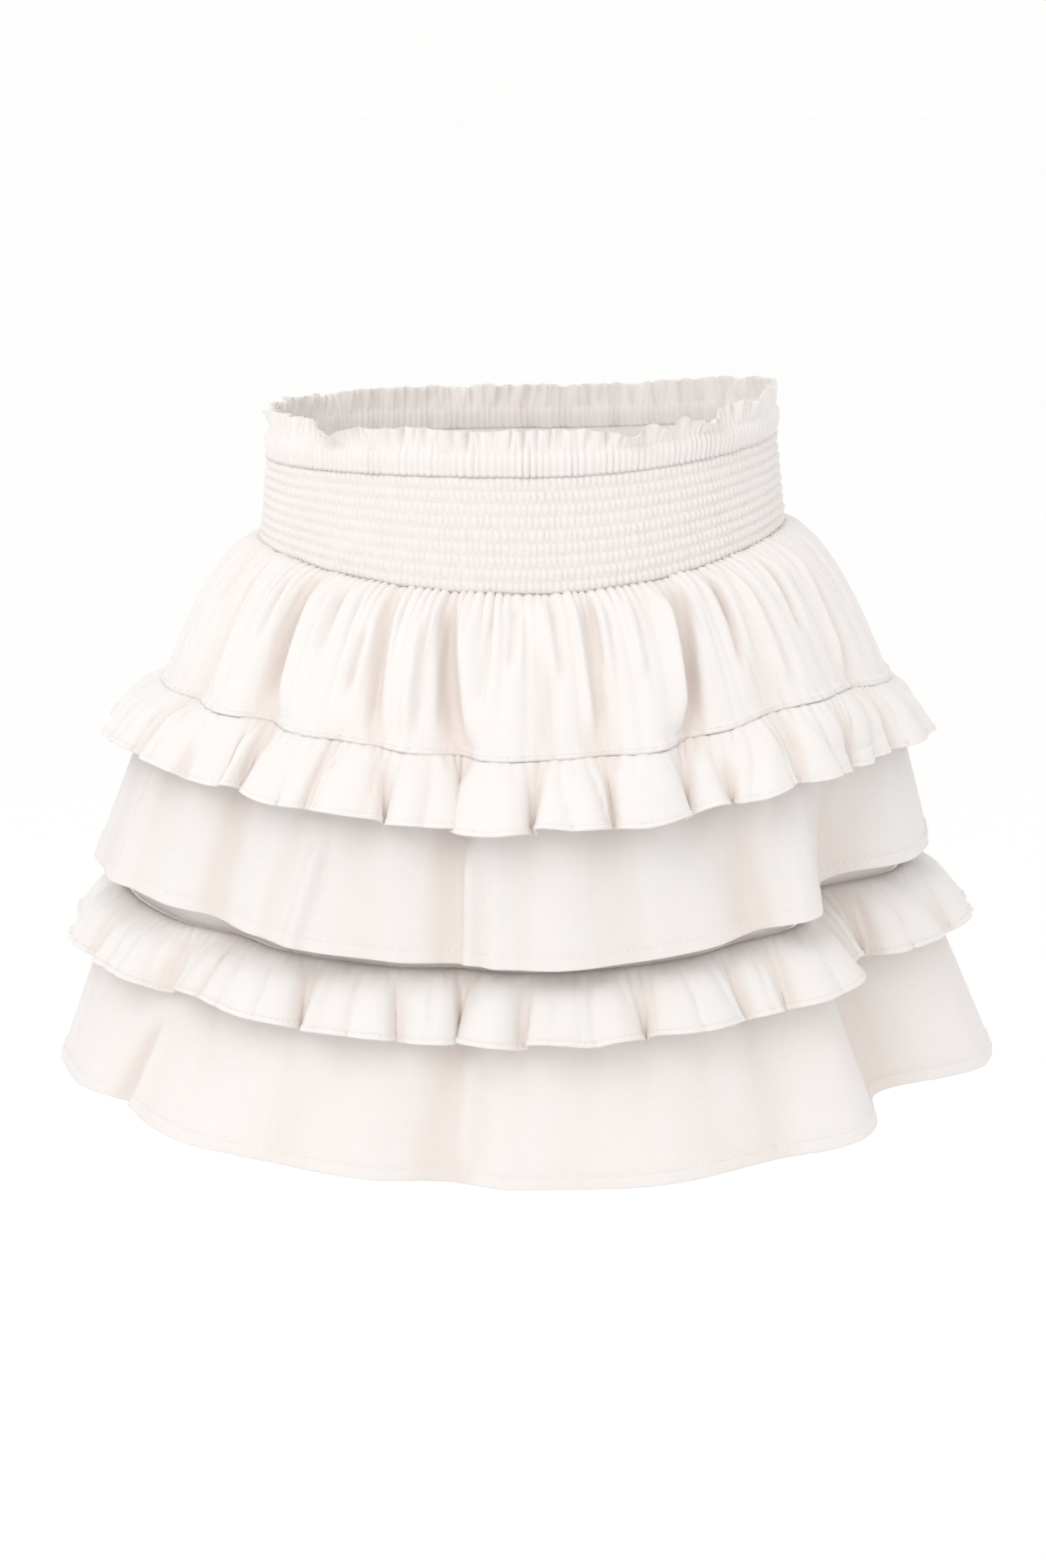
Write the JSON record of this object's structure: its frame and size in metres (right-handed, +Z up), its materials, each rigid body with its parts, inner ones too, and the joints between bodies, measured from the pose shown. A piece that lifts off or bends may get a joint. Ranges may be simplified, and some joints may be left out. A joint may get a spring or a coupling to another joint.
{
  "type": "tiered ruffle skirt",
  "caption": "Short pull-on skirt with a frilled elastic waist casing, a shirred band, a gathered yoke and free-hanging tiers with ruffles set in their seams.",
  "frame": {"origin": "centre of the waist ring at mid height of the elastic casing, where a wearer's waist holds the skirt", "axes": "+Z up along the body, out of the waist opening; +X towards the side seam on the right of someone facing the front; -Y out of the front"},
  "size_m": [0.4743, 0.3649, 0.3602],
  "materials": {
    "casing_cloth": "matt crinkled white cotton voile over elastic",
    "shirred_cloth": "matt white cotton voile in fine elastic shirring",
    "tier_cloth": "matt plain-weave white cotton voile",
    "ruffle_cloth": "matt gathered white cotton voile with a narrow stitched hem",
    "underlayer_cloth": "matt plain white cotton lawn"
  },
  "bodies": {
    "root": {"front_casing": "casing_cloth", "back_casing": "casing_cloth", "front_band": "shirred_cloth", "back_band": "shirred_cloth", "front_yoke": "tier_cloth", "back_yoke": "tier_cloth", "front_upper_ruffle": "ruffle_cloth", "back_upper_ruffle": "ruffle_cloth", "front_middle_tier": "tier_cloth", "back_middle_tier": "tier_cloth", "front_underlayer": "underlayer_cloth", "back_underlayer": "underlayer_cloth", "front_lower_ruffle": "ruffle_cloth", "back_lower_ruffle": "ruffle_cloth", "front_bottom_tier": "tier_cloth", "back_bottom_tier": "tier_cloth"}
  },
  "joints": []
}
